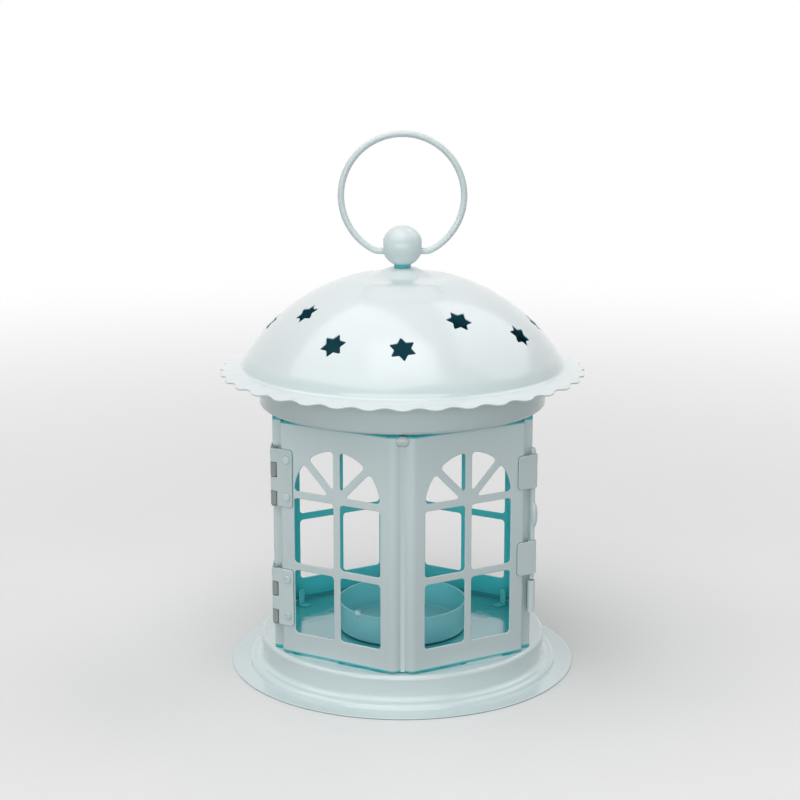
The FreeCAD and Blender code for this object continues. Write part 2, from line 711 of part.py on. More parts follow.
# Latch: two straps on the door carry a bolt that drops into a keeper on the right wall.
def make_latch():
    for name in ("upper", "lower"):
        bottom = f"{name}_strap_bottom"
        make_leaf(
            f"latch_strap_{name}", DOOR_RIGHT, 1, "bolt_x", "bolt_door_apothem", "strap_reach",
            "strap_loop", "bolt_bore", bottom, "strap_height", [(bottom, "strap_height")], "0")
    make_leaf(
        "latch_keeper", WALL_RIGHT, -1, "keeper_x", "bolt_wall_apothem", "keeper_reach",
        "keeper_radius", "bolt_bore", "keeper_bottom", "keeper_height",
        [("keeper_bottom", "keeper_height")], "( bolt_bore + keeper_wall / 2 )")
    rod = doc.addObject("Part::Cylinder", "bolt_rod")
    rod.setExpression("Radius", cells("bolt_radius"))
    rod.setExpression("Height", cells("bolt_end - bolt_tip - bolt_radius"))
    rod.setExpression("Placement.Base.z", cells("bolt_tip"))
    cap = doc.addObject("Part::Sphere", "bolt_cap")
    cap.setExpression("Radius", cells("bolt_radius"))
    cap.setExpression("Placement.Base.z", cells("bolt_end - bolt_radius"))
    finger = doc.addObject("Part::Ellipsoid", "bolt_finger")
    finger.setExpression("Radius1", cells("finger_height / 2"))
    finger.setExpression("Radius2", cells("finger_radius"))
    finger.setExpression("Radius3", cells("finger_radius"))
    finger.setExpression("Placement.Base.x", cells("finger_offset"))
    finger.setExpression("Placement.Base.z", cells("finger_bottom + finger_height / 2"))
    bolt = doc.addObject("Part::MultiFuse", "latch_bolt")
    bolt.Label = "latch_bolt"
    bolt.Shapes = [rod, cap, finger]
    doc.recompute()
    axis = turned(DOOR_RIGHT).multVec(Vector(size("bolt_x"), -size("bolt_door_apothem"), 0))
    bolt.Placement = Placement(axis, Rotation(UP, math.degrees(math.atan2(axis.y, axis.x))))
    pieces.append(bolt)


# Welds: filler along the groove between two panels, with drops on it, cut to the sheet that it lies on.
def weld_drop(angle, height, panels):
    drop = Part.makeSphere(1)
    grow = FreeCAD.Matrix()
    grow.scale(size("weld_depth"), size("weld_width"), size("weld_height"))
    drop = drop.transformGeometry(grow)
    reach = size("shoulder_reach") - size("weld_depth")
    drop.Placement = turned(angle).multiply(Placement(Vector(reach, 0, height), Rotation()))
    solids = drop.cut([panel.Shape for panel in panels]).Solids
    return max(solids, key=lambda solid: solid.Volume)


def weld_bead(angle, bottom, top, panels, drops):
    """Filler from bottom to top of a groove that leaves room for the drops on it."""
    across = size("groove_width")
    start = Vector(size("groove_reach"), -across / 2, bottom)
    bead = Part.makeBox(size("weld_fill"), across, top - bottom, start)
    bead.Placement = turned(angle)
    solids = bead.cut([panel.Shape for panel in panels]).cut(drops).Solids
    return max(solids, key=lambda solid: solid.Volume)


def make_welds(door_panels, wall_panels):
    low, high = (size("wall_bottom") + size("weld_height"), size("wall_top") - size("weld_height"))
    fillers = []
    for angle in WELDED_WALL_CORNERS:
        drops = [weld_drop(angle, height, wall_panels) for height in (low, high)]
        fillers += drops + [weld_bead(angle, low, high, wall_panels, drops)]
    grouped("wall_corner_welds", fillers)
    high = size("door_top") - size("weld_height")
    drop = weld_drop(DOOR_CORNER, high, door_panels)
    bead = weld_bead(DOOR_CORNER, size("door_bottom"), high, door_panels, [drop])
    grouped("door_corner_weld", [drop, bead])


# Clips: bent tongues on the floor and under the crown that keep the welded wall corners in place.
def make_clips():
    master = new_body("corner_clip", keep=False)
    foot = new_sketch(master, "XZ_Plane")
    outline(foot, [
        ("clip_radius - clip_foot", "0"),
        ("clip_radius", "0"),
        ("clip_radius", "clip_height"),
        ("clip_radius - leaf_gauge", "clip_height"),
        ("clip_radius - leaf_gauge", "leaf_gauge"),
        ("clip_radius - clip_foot", "leaf_gauge"),
    ])
    feature = pad(master, foot, "clip_width")
    feature.SideType = "Symmetric"

    def tongue_corner(edge):
        box = edge.BoundBox
        across = box.XLength > SMALL and box.YLength < SMALL and box.ZLength < SMALL
        return across and abs(box.ZMin - size("clip_height")) < SMALL
    round_edges(master, "clip_round", tongue_corner)
    floor = Placement(Vector(0, 0, size("wall_bottom")), Rotation())
    under_crown = Placement(Vector(0, 0, size("wall_top")), Rotation(Vector(1, 0, 0), 180))
    for label, seat in (("floor_clips", floor), ("crown_clips", under_crown)):
        shapes = []
        for angle in WELDED_WALL_CORNERS:
            shapes.append(placed_copy(master, turned(angle).multiply(seat)))
        grouped(label, shapes)


# Crown: a ring whose lower lip sits on the walls and whose upper flange lies under the brim.
def make_crown():
    def seat(radius):
        return f"( crown_seat - brim_slope * ( {radius} - brim_inner ) )"
    return turned_piece("crown_ring", [
        ("crown_opening", "crown_bottom"),
        ("crown_radius - crown_round", "crown_bottom", "crown_round", "left"),
        ("crown_radius", "crown_bottom + crown_round"),
        ("crown_radius", f"{seat('crown_radius')} - sheet_gauge"),
        ("crown_lap_radius", f"{seat('crown_lap_radius')} - sheet_gauge"),
        ("crown_lap_radius", seat("crown_lap_radius")),
        ("crown_inside", seat("crown_inside")),
        ("crown_inside", "crown_bottom + crown_round", "crown_round - sheet_gauge", "right"),
        ("crown_radius - crown_round", "crown_bottom + sheet_gauge"),
        ("crown_opening", "crown_bottom + sheet_gauge"),
    ])


# Roof: a spun cap with a raised boss, a straight foot and a scalloped brim, pierced by stars.
def star_outline(sketch):
    points = []
    for step in range(2 * STAR_ARMS):
        reach = "star_tip" if step % 2 == 0 else "star_valley"
        angle = 90 + 180 / STAR_ARMS * step
        points.append((f"{reach} * cos({angle})", f"{reach} * sin({angle})"))
    outline(sketch, points)


def cut_stars(roof, reach, azimuth, twist):
    """A row of stars round the dome, the first one azimuth degrees to the right of the front."""
    slope = math.degrees(math.asin(size(reach) / size("dome_radius")))
    facing = Rotation(UP, azimuth) * Rotation(Vector(1, 0, 0), slope) * Rotation(UP, twist)
    middle = Vector(0, 0, size("dome_centre")) + facing.multVec(UP) * size("dome_radius")
    star = new_sketch(roof, "XY_Plane")
    star.AttachmentOffset = Placement(middle, facing)
    star_outline(star)
    cut = pocket(roof, star, "star_cut")
    checked_cut(cut)
    around_axis(roof, [cut], STARS_PER_ROW)


def make_roof():
    inner_foot = "dome_centre + sqrt(dome_inner_radius ^ 2 - foot_inner ^ 2)"
    roof = turned_piece("roof_dome", [
        ("screw_hole", "boss_z"),
        ("boss_top", "boss_z"),
        ("boss_foot", "boss_foot_z"),
        ("valley_radius", "valley_height", "dome_radius", "right"),
        ("dome_foot", "brim_height + dome_wall"),
        ("foot_x", "brim_height + foot_round", "foot_round", "left"),
        ("brim_inner", "brim_height"),
        ("brim_radius", "brim_height - brim_fall"),
        ("brim_radius", "brim_height - brim_fall - sheet_gauge"),
        ("brim_inner", "brim_height - sheet_gauge", "foot_round + sheet_gauge", "right"),
        ("foot_x - sheet_gauge", "brim_height + foot_round"),
        ("foot_inner", inner_foot, "dome_inner_radius", "left"),
        ("valley_radius", "valley_inner"),
        ("boss_foot", "boss_foot_z - sheet_gauge"),
        ("boss_top", "boss_z - sheet_gauge"),
        ("screw_hole", "boss_z - sheet_gauge"),
    ])
    notch = new_sketch(roof, "XY_Plane")
    notch_reach = "( brim_radius - scallop_depth + scallop_round )"
    half_step = "( 180 / scallop_count )"
    circle(notch, f"{notch_reach} * sin({half_step})", f"-1 * {notch_reach} * cos({half_step})",
           "scallop_round")
    scallop = pocket(roof, notch)
    checked_cut(scallop)
    around_axis(roof, [scallop], "scallop_count")
    for row in STAR_ROWS:
        cut_stars(roof, *row)
    return roof


def make_roof_drops(crown, roof):
    """Drops of solder where the crown's flange ends under the brim."""
    reach = size("crown_lap_radius")
    fall = size("brim_slope") * (reach - size("brim_inner"))
    middle = Vector(reach, 0, size("crown_seat") - fall - size("sheet_gauge") / 2)
    drops = []
    for step in range(ROOF_DROPS):
        ball = Part.makeSphere(size("roof_drop_radius"))
        ball.Placement = turned(360 / ROOF_DROPS * step).multiply(Placement(middle, Rotation()))
        solids = ball.cut([crown.Shape, roof.Shape]).Solids
        drops.append(min(solids, key=lambda solid: solid.CenterOfMass.z))
    grouped("roof_solder_drops", drops)


# Finial: a collar and a drilled ball, held by a screw from inside the roof.
def make_finial():
    turned_piece("finial_collar", [
        ("screw_hole", "collar_bottom"),
        ("collar_radius", "collar_bottom"),
        ("collar_radius", "collar_top"),
        ("screw_hole", "collar_top"),
    ])
    turned_piece("finial_screw", [
        ("0", "screw_seat - screw_head_height"),
        ("screw_head - screw_bevel", "screw_seat - screw_head_height"),
        ("screw_head", "screw_seat - screw_head_height + screw_bevel"),
        ("screw_head", "screw_seat"),
        ("screw_radius", "screw_seat"),
        ("screw_radius", "screw_tip"),
        ("0", "screw_tip"),
    ])
    ball = turned_piece("finial_ball", [
        ("screw_hole", "ball_bottom"),
        ("ball_seat", "ball_bottom", "ball_radius", "left"),
        ("0", "ball_centre + ball_radius"),
        ("0", "screw_tip + seat_gap"),
        ("screw_hole", "screw_tip + seat_gap"),
    ])
    hole = new_sketch(ball, "YZ_Plane")
    circle(hole, "0", "ball_hole_z", "ball_hole")
    checked_cut(pocket(ball, hole))


# Ring handle: a wire ring whose two ends turn inwards and lie in the ball's cross hole.
def make_ring_handle():
    body = new_body("ring_handle")
    spine = new_sketch(body, "XZ_Plane")
    half_gap = size("ring_end_gap") / 2
    axis, centre = size("ring_axis"), size("ring_centre")
    bend_x, join_x, join_z = size("ring_bend_x"), size("ring_join_x"), size("ring_join_z")
    edges = []
    for hand, turn in ((1, "left"), (-1, "right")):
        end = Vector(hand * half_gap, axis, 0)
        bend = Vector(hand * bend_x, axis, 0)
        join = Vector(hand * join_x, join_z, 0)
        start, finish = (1, 2) if hand == 1 else (2, 1)
        run = spine.addGeometry(Part.LineSegment(end, bend))
        curl = spine.addGeometry(arc_between(bend, join, size("ring_bend"), turn))
        edges.append((run, curl, start, finish))
    half_turn = math.atan2(join_z - centre, join_x)
    circle_edge = Part.Circle(Vector(0, centre, 0), UP, size("ring_radius"))
    hoop = spine.addGeometry(Part.ArcOfCircle(circle_edge, half_turn, math.pi - half_turn))
    signs = ("", "-1 * ")
    for (run, curl, start, finish), sign, hoop_end in zip(edges, signs, (1, 2)):
        spine.addConstraint(Sketcher.Constraint("Coincident", run, 2, curl, start))
        spine.addConstraint(Sketcher.Constraint("Coincident", curl, finish, hoop, hoop_end))
        place_point(spine, run, 1, (f"{sign}ring_end_gap / 2", "ring_axis"))
        place_point(spine, run, 2, (f"{sign}ring_bend_x", "ring_axis"))
        place_point(spine, hoop, hoop_end, (f"{sign}ring_join_x", "ring_join_z"))
        bind(spine, Sketcher.Constraint("Radius", curl, size("ring_bend")), cells("ring_bend"))
    bind(spine, Sketcher.Constraint("Radius", hoop, size("ring_radius")), cells("ring_radius"))
    section = new_sketch(body, "YZ_Plane", "ring_end_gap / 2")
    circle(section, "0", "ring_axis", "ring_wire")
    doc.recompute()
    pipe = body.newObject("PartDesign::AdditivePipe", "ring_wire_pipe")
    pipe.Profile = section
    pipe.Spine = spine
    doc.recompute()
    straight = 2 * (bend_x - half_gap)
    curled = 2 * size("ring_bend") * math.atan2(join_x - bend_x, axis + size("ring_bend") - join_z)
    length = straight + curled + size("ring_radius") * (math.pi - 2 * half_turn)
    expected = length * math.pi * size("ring_wire") ** 2
    print(f"ring wire {length:.1f} mm long, volume {body.Shape.Volume:.1f} of {expected:.1f} mm3")


def check_document():
    """Stop if any object failed or any piece is not a sound solid."""
    for item in doc.Objects:
        if "Invalid" in item.State or "Error" in item.State:
            raise RuntimeError(f"{item.Name} failed: {item.State}")
    for piece in pieces:
        if piece.Shape.isNull() or not piece.Shape.isValid() or not piece.Shape.Solids:
            raise RuntimeError(f"{piece.Label} is not a valid solid")


def main():
    make_base()
    make_candle_cup()
    door_span = ("door_bottom", "door_top")
    wall_span = ("wall_bottom", "wall_top")
    hung_left, hung_right = ("swing_seam", "weld_seam"), ("weld_seam", "swing_seam")
    door_left = make_panel("door_panel_left", DOOR_LEFT, hung_left, door_span)
    door_right = make_panel("door_panel_right", DOOR_RIGHT, hung_right, door_span)
    wall_left = make_panel("wall_panel_left", WALL_LEFT, hung_right, wall_span)
    wall_right = make_panel("wall_panel_right", WALL_RIGHT, hung_left, wall_span)
    walls = [wall_left, wall_right]
    fixed = ("weld_seam", "weld_seam")
    for side, turn, shift in (("left", BACK_LEFT, 1), ("right", BACK_RIGHT, -1)):
        walls.append(make_panel(f"wall_panel_back_{side}", turn, fixed, wall_span, shift))
    drill_for_rivets(door_left, -1)
    drill_for_rivets(wall_left, 1)
    make_hinge("upper")
    make_hinge("lower")
    make_hinge_rivets()
    make_latch()
    make_welds([door_left, door_right], walls)
    make_clips()
    crown = make_crown()
    roof = make_roof()
    make_roof_drops(crown, roof)
    make_finial()
    make_ring_handle()
    doc.recompute()
    check_document()
    os.makedirs("parts", exist_ok=True)
    for piece in pieces:
        piece.Shape.exportStep(f"parts/{piece.Label}.step")
    print(f"{len(pieces)} sub-parts written")


main()
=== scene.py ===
# Looks of the six-sided tealight lantern: thick gloss paint, ruffled brim, pierced roof, and a studio.

import cmath
import math

import bmesh
import bpy
from mathutils import Matrix, Vector
from mathutils.geometry import delaunay_2d_cdt


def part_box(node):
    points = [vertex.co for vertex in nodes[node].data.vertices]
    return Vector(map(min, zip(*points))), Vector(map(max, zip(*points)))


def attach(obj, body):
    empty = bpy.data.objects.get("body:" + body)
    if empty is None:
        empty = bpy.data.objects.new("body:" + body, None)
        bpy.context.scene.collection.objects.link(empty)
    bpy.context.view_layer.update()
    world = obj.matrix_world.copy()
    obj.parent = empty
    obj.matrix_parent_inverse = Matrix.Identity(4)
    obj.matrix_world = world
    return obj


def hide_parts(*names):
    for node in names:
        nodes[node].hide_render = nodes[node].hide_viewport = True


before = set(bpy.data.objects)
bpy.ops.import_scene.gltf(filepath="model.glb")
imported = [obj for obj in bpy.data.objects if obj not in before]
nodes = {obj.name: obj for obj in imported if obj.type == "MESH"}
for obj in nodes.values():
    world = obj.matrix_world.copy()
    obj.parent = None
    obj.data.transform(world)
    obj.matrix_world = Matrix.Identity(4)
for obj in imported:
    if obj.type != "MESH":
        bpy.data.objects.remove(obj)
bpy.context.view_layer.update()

MM = 0.001


def extent(node):
    """A node's greatest x, its lowest and its highest point, in millimetres."""
    low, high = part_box(node)
    return high.x / MM, low.z / MM, high.z / MM


def least_reach(node):
    """How far a node goes on each of its four sides, at the least, in millimetres."""
    low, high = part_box(node)
    return min(-low.x, -low.y, high.x, high.y) / MM


def axis_place(node):
    """Where the upright axis of a round node stands, as x and y in millimetres."""
    low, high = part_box(node)
    return (low.x + high.x) / 2 / MM, (low.y + high.y) / 2 / MM


# Sizes in millimetres: the outer ones come from the frame, the rest are those of the sheet metal.
SHEET = 0.6
PAINT_ROUND = 0.24
PANEL_APOTHEM = extent("wall_panel_right")[0]
PANEL_BOTTOM, PANEL_TOP = extent("door_panel_left")[1:]
GROOVE_REACH = 44.0
HINGE_X, HINGE_Y = axis_place("hinge_pin_upper")

BASE_RADIUS, BASE_BOTTOM, FLOOR_HEIGHT = extent("base_dish")
RIM_WIDTH = 5.8
BEAD_ROUND = 1.8
BEAD_LAND = 0.6
COVE_ROUND = 1.5
PLATEAU_ROUND = 1.4
RIVET_BORE = 1.55
BASE_SEGMENTS = 240

CUP_RADIUS, CUP_BOTTOM, CUP_RIM = extent("candle_cup")
CUP_SHEET = 0.5
CUP_ROUND = 1.0
CUP_RIM_ROUND = 0.9 * PAINT_ROUND
CUP_SEGMENTS = 360
SOLDER_TURN = math.radians(-134)
SOLDER_RADIUS = 1.15
SOLDER_STEPS = 6

BRIM_BOTTOM, BOSS_HEIGHT = extent("roof_dome")[1:]
BRIM_RADIUS = least_reach("roof_dome")
BRIM_WIDTH = 6.05
BRIM_FALL = 1.3
BRIM_HEIGHT = BRIM_BOTTOM + SHEET + BRIM_FALL
BRIM_INNER = BRIM_RADIUS - BRIM_WIDTH
FOOT_ROUND = 1.0
FOOT_FLARE = 0.25
FOOT_RADIUS = BRIM_INNER - FOOT_ROUND
DOME_FOOT = FOOT_RADIUS - FOOT_FLARE
DOME_WALL = 2.0
DOME_RISE = 29.0
DOME_RADIUS = (DOME_FOOT ** 2 + DOME_RISE ** 2) / (2 * DOME_RISE)
DOME_CENTRE = BRIM_HEIGHT + DOME_WALL + DOME_RISE - DOME_RADIUS
VALLEY_RADIUS = 16.8
BOSS_FOOT = 9.6
BOSS_FOOT_RISE = 0.5
BOSS_TOP = 4.4
BOSS_EASE = 1.3
BOSS_EASE_STEPS = 4
SCREW_HOLE = 1.55

SCALLOPS = 36
SCALLOP_ROUND = 7.0
SCALLOP_DEPTH = 1.0
SCALLOP_STEPS = 12
RUFFLE = 0.3
RUFFLE_START = 2.1
BRIM_STEPS = 6
CAP_SPACING = 1.6
BORE_POINTS = 24
PLAN_TOLERANCE = 1e-6

# Stars: millimetres and degrees, with rows as (distance from the axis, turn, twist).
STAR_ARMS = 6
STARS_PER_ROW = 4
STAR_TIP = 4.4
STAR_VALLEY = 2.6
TIP_ROUND = 0.28
VALLEY_ROUND = 0.5
STAR_CORNER_STEP = 22
CUT_EDGE_TURNS = (0, 30, 60, 90)
STARS_FROM_FOOT = 9.3
STAR_ROW_GAP = 7.7
LOWER_STARS = DOME_FOOT - STARS_FROM_FOOT
UPPER_STARS = LOWER_STARS - STAR_ROW_GAP
STAR_ROWS = ((LOWER_STARS, 0, 8), (LOWER_STARS, -30, -6), (UPPER_STARS, 30, 14))

# Paint colours, linear: outside, and paler as painted light where it faces up; the cup, the lantern's floor
# and inside, in the paint's aqua deepened and brightened as painted bounce light, and the painted highlight
# of the cup's bead; painted shade in the gaps along seams and on the collar, under the roof over painted
# bounce light, and in crevices; specks of dust and thinly coated pins.
OUTSIDE = (0.67, 0.785, 0.80, 1)
# Painted light: paler paint where a surface faces up.
PAINTED_TOP_LIGHT = (0.745, 0.815, 0.83, 1)
# Painted bounce light: the cup in the paint's aqua, deepened and brightened, outside and inside.
CUP_OUTER_BOUNCE_LIGHT = (0.42, 0.82, 0.88, 1)
CUP_INSIDE_BOUNCE_LIGHT = (0.30, 0.90, 0.95, 1)
# Painted highlight on the cup's bead.
CUP_BEAD_HIGHLIGHT = (0.60, 0.86, 0.90, 1)
# Painted bounce light: the lantern's floor and inside in the paint's aqua, deepened and brightened.
FLOOR_BOUNCE_LIGHT = (0.09, 0.57, 0.61, 1)
INSIDE_BOUNCE_LIGHT = (0.13, 0.86, 0.90, 1)
# Painted shade in the gaps at the panels' ends and below the door, and on the collar.
GAP_SHADE = (0.02, 0.52, 0.56, 1)
# Painted bounce light and shade under the roof.
UNDER_ROOF_SHADE = (0.09, 0.42, 0.54, 1)
# Painted shade in crevices and creases.
CREVICE_SHADE = (0.01, 0.27, 0.29, 1)
SPECK = (0.20, 0.24, 0.25, 1)
BARE_PIN = (0.32, 0.36, 0.36, 1)

# Directions, and what is added to the way out from the axis before inner faces are told from outer ones.
UP = (0, 0, 1)
FORWARDS = (0, -1, 0)
INWARDS_LIFT = (0, 0, 0.4)
UNDERSIDE_LIFT = (0, 0, 1)

# Masks of the paint, most of them for its painted light and shade: each pair has the values at which a mask
# is 0 and 1. They tell how much a surface faces a direction, then they are lengths in millimetres, then
# shares of open surroundings.
FACES_UP = (0.2, 0.9)
FLOOR_FACES_UP = (0.0, 0.5)
FACES_INWARDS = (0.3, -0.4)
FACES_UNDERSIDE = (0.1, -0.4)
SILL_OUTER = (0.5 * SHEET, 0)
SILL_INNER = (-5 * SHEET, -2 * SHEET)
SILL_FRONT = (0.40 * PANEL_APOTHEM, 0.55 * PANEL_APOTHEM)
PANEL_LOW_END = (PANEL_BOTTOM + 0.8, PANEL_BOTTOM + 0.4)
PANEL_HIGH_END = (PANEL_TOP - 0.9, PANEL_TOP - 0.4)
KNUCKLE_REACH = (1.5, 1.35)
SOLDER_REACH = (1.4 * SOLDER_RADIUS, SOLDER_RADIUS)
CORNER_SHELTER = (0.75, 0.25)
CREVICE_SHELTER = (0.5, 0.05)
CREASE_SHELTER = (0.9, 0.5)

# Walls and grooves, folded into one quarter of the plan: direction in degrees and reach of the outer face.
WALL_LIMITS = ((0, PANEL_APOTHEM), (60, PANEL_APOTHEM), (90, GROOVE_REACH), (30, GROOVE_REACH))

# Unevenness of the paint, and its painted light and shade at the walls' head and foot, in corners, crevices
# and creases: sizes, distances and depths in millimetres, the rest in shares.
PATCH_SIZE = 50
PATCH_SHADE = 0.96
# Painted light and shade on the walls: paler at their head, deeper at their foot.
WALL_FOOT_PAINTED_SHADE = 0.87
WALL_HEAD_PAINTED_LIGHT = 1.12
# Painted shade in the inside's corners.
CORNER_DISTANCE = 9
CORNER_PAINTED_SHADE = 0.6
# Painted shade in crevices and creases.
CREVICE_DISTANCE = 2.2
CREVICE_STRENGTH = 0.92
CREASE_DISTANCE = 0.5
CREASE_STRENGTH = 0.75
SHELTER_SAMPLES = 8
GLOSS_PATCH = 40
GLOSS_NOISE = (0.2, 0.8)
GLOSS_SPREAD = 0.05
GRAIN_SIZE = 1.1
GRAIN_DEPTH = 0.08
GRAIN_STRENGTH = 0.05
WAVE_DEPTH = 0.25
RIPPLE_SIZE = 3
RIPPLE_DEPTH = 0.2
DUST_CELL = 8
DUST_SHARE = 0.16
SPECK_EDGE = (0.030, 0.016)
SPECK_STRENGTH = (0.25, 0.9)

# Rounded edges of the CAD sheets, in millimetres and degrees.
PANEL_EDGE = 0.27
HARDWARE_EDGE = 0.18
KEEPER_EDGE = 0.10
EDGE_SEGMENTS = 4
EDGE_ANGLE = 38
FLAT_ANGLE = 0.4
WELD_DISTANCE = 0.002

# Studio: sizes in millimetres, colours linear.
WHITE = (1, 1, 1, 1)
FLOOR_RADIUS = 8000
FLOOR_SIDES = 96
FLOOR_PALE = (0.90, 0.90, 0.895, 1)
FLOOR_PALER = (0.92, 0.92, 0.915, 1)
FLOOR_BOUNCE = (0.12, 0.12, 0.12, 1)
FLOOR_ROUGHNESS = 0.6
FLOOR_FADE = (120, 800)
MOTTLE_SIZE = 120
MOTTLE_NOISE = (0.3, 0.7)
SKY = (0.93, 0.98, 1.0, 1)
SKY_STRENGTH = 0.20

# Soft boxes: name, place, aim, width and depth in metres, and watts.
LAMP_COLOUR = (1.0, 0.99, 0.98)
BODY_MIDDLE = (0, 0, 0.1)
WALL_MIDDLE = (0, 0, 0.07)
LAMPS = (
    ("overhead", (0, -0.35, 1.15), BODY_MIDDLE, 0.7, 0.5, 1.2),
    ("wide_left", (-0.35, -0.25, 1.10), BODY_MIDDLE, 1.8, 1.2, 8.8),
    ("right_back", (0.7, 0.30, 0.90), BODY_MIDDLE, 1.0, 0.8, 2.6),
    ("front_low", (-0.1, -1.2, 0.30), WALL_MIDDLE, 1.8, 0.5, 6.2),
)

# Camera at the photograph's viewing angle, in millimetres and degrees.
CAMERA_PLACE = (-0.8, -604.9, 229.3)
CAMERA_PITCH = 76.88
CAMERA_LENS = 85.3
CAMERA_SENSOR = 36
CAMERA_NEAR = 10


class Shader:
    """A material under construction: adds nodes, joins sockets and keeps the principled shader at hand."""

    def __init__(self, name):
        self.material = bpy.data.materials.new(name)
        self.material.use_nodes = True
        self.tree = self.material.node_tree
        self.tree.nodes.clear()
        self.output = self.tree.nodes.new("ShaderNodeOutputMaterial")
        self.surface = self.tree.nodes.new("ShaderNodeBsdfPrincipled")
        self.tree.links.new(self.surface.outputs["BSDF"], self.output.inputs["Surface"])
        place = self.tree.nodes.new("ShaderNodeTexCoord")
        self.place = place.outputs["Object"]
        self.normal = place.outputs["Normal"]

    def join(self, value, socket):
        """Feed a socket with another node's output, or set it to a constant."""
        if isinstance(value, bpy.types.NodeSocket):
            self.tree.links.new(value, socket)
        elif value is not None:
            socket.default_value = value

    def add(self, kind, settings=None, **inputs):
        """A node with its settings and inputs; an input is a number, a colour or another node's output."""
        node = self.tree.nodes.new(kind)
        for name, value in (settings or {}).items():
            setattr(node, name, value)
        for name, value in inputs.items():
            self.join(value, node.inputs[name.replace("_", " ")])
        return node

    def set(self, name, value):
        """Feed or set an input of the principled shader."""
        self.join(value, self.surface.inputs[name])

    def noise(self, size, detail=2.0):
        """Noise whose patches measure about size millimetres."""
        node = self.add("ShaderNodeTexNoise", Vector=self.place, Scale=1 / (size * MM), Detail=detail)
        return node.outputs["Fac"]

    def ramp(self, value, limits, results=(0, 1)):
        """Map what lies between two limits smoothly to what lies between two results."""
        node = self.add("ShaderNodeMapRange", {"interpolation_type": "SMOOTHSTEP"}, Value=value,
                        From_Min=limits[0], From_Max=limits[1], To_Min=results[0], To_Max=results[1])
        return node.outputs["Result"]

    def within(self, length, limits):
        """Mask of a length in metres between two limits in millimetres."""
        return self.ramp(length, [limit * MM for limit in limits])

    def shelter(self, distance, limits, strength=1.0):
        """Mask of places that have other surfaces within a distance in millimetres, up to a strength."""
        node = self.add("ShaderNodeAmbientOcclusion", {"samples": SHELTER_SAMPLES}, Distance=distance * MM)
        return self.ramp(node.outputs["AO"], limits, (0, strength))

    def bump(self, height, depth, strength, over=None):
        """Normal of a surface with a height map of some depth in millimetres, laid over another normal."""
        node = self.add("ShaderNodeBump", Strength=strength, Distance=depth * MM, Height=height, Normal=over)
        return node.outputs["Normal"]

    def math(self, operation, *values):
        """Result of an operation on numbers."""
        node = self.add("ShaderNodeMath", {"operation": operation})
        for socket, value in zip(node.inputs, values):
            self.join(value, socket)
        return node.outputs["Value"]

    def vector(self, operation, *values):
        """Result of an operation on vectors, which is a number for a dot product or a length."""
        node = self.add("ShaderNodeVectorMath", {"operation": operation})
        for socket, value in zip(node.inputs, values):
            self.join(value, socket)
        scalar = operation in ("DOT_PRODUCT", "LENGTH")
        return node.outputs["Value" if scalar else "Vector"]

    def mix(self, share, first, second):
        """Colour between first and second."""
        node = self.add("ShaderNodeMix", {"data_type": "RGBA"})
        sockets = {socket.identifier: socket for socket in node.inputs}
        self.join(share, sockets["Factor_Float"])
        self.join(first, sockets["A_Color"])
        self.join(second, sockets["B_Color"])
        return next(socket for socket in node.outputs if socket.identifier == "Result_Color")

    def along(self, direction):
        """How far the place lies along a direction, in metres."""
        return self.vector("DOT_PRODUCT", self.place, direction)

    def level(self):
        """The place as seen from above."""
        return self.vector("MULTIPLY", self.place, (1, 1, 0))

    def facing(self, direction):
        """Cosine between the surface and a direction."""
        return self.vector("DOT_PRODUCT", self.normal, direction)


def facing_from_axis(shader, lift):
    """How much the surface faces out from the lantern's axis, with a lift added to the way out."""
    outwards = shader.vector("NORMALIZE", shader.level())
    return shader.facing(shader.vector("ADD", outwards, lift))


def facing_inwards(shader):
    """1 on faces that look at the lantern's axis, 0 on outer faces, between them on upright edges."""
    return shader.ramp(facing_from_axis(shader, INWARDS_LIFT), FACES_INWARDS)


def beyond_walls(shader):
    """How far a place of the plan lies outside the walls' outer face, in metres."""
    folded = shader.vector("ABSOLUTE", shader.place)
    beyond = None
    for degrees, reach in WALL_LIMITS:
        way = cmath.rect(1, math.radians(degrees))
        along = shader.vector("DOT_PRODUCT", folded, (way.real, way.imag, 0))
        past = shader.math("SUBTRACT", along, reach * MM)
        beyond = past if beyond is None else shader.math("MAXIMUM", beyond, past)
    return beyond


def within_walls(shader):
    """1 on the lantern's floor, 0 outside the six walls and on the underside."""
    near = shader.within(beyond_walls(shader), (0, -SHEET))
    upwards = shader.ramp(shader.facing(UP), FLOOR_FACES_UP)
    return shader.math("MULTIPLY", near, upwards)


def shade_under_door(shader):
    """Painted shade: 1 on the line of floor below the door."""
    beyond = beyond_walls(shader)
    outer = shader.within(beyond, SILL_OUTER)
    inner = shader.within(beyond, SILL_INNER)
    front = shader.within(shader.along(FORWARDS), SILL_FRONT)
    return shader.math("MULTIPLY", shader.math("MULTIPLY", outer, inner), front)


def panel_end_shade(shader):
    """Painted shade of the gaps: 1 at the lower and upper end of a panel."""
    height = shader.along(UP)
    low = shader.within(height, PANEL_LOW_END)
    high = shader.within(height, PANEL_HIGH_END)
    return shader.math("MAXIMUM", low, high)


def under_roof(shader):
    """1 where the roof or the crown faces the lantern's inside, which takes painted bounce light and shade.
    """
    inner = shader.ramp(facing_from_axis(shader, UNDERSIDE_LIFT), FACES_UNDERSIDE)
    near = shader.within(shader.vector("LENGTH", shader.level()), (BRIM_INNER, DOME_FOOT))
    return shader.math("MULTIPLY", inner, near)


def on_knuckles(shader):
    """1 on what is rolled round the hinge pins."""
    away = shader.vector("SUBTRACT", shader.level(), (HINGE_X * MM, HINGE_Y * MM, 0))
    return shader.within(shader.vector("LENGTH", away), KNUCKLE_REACH)


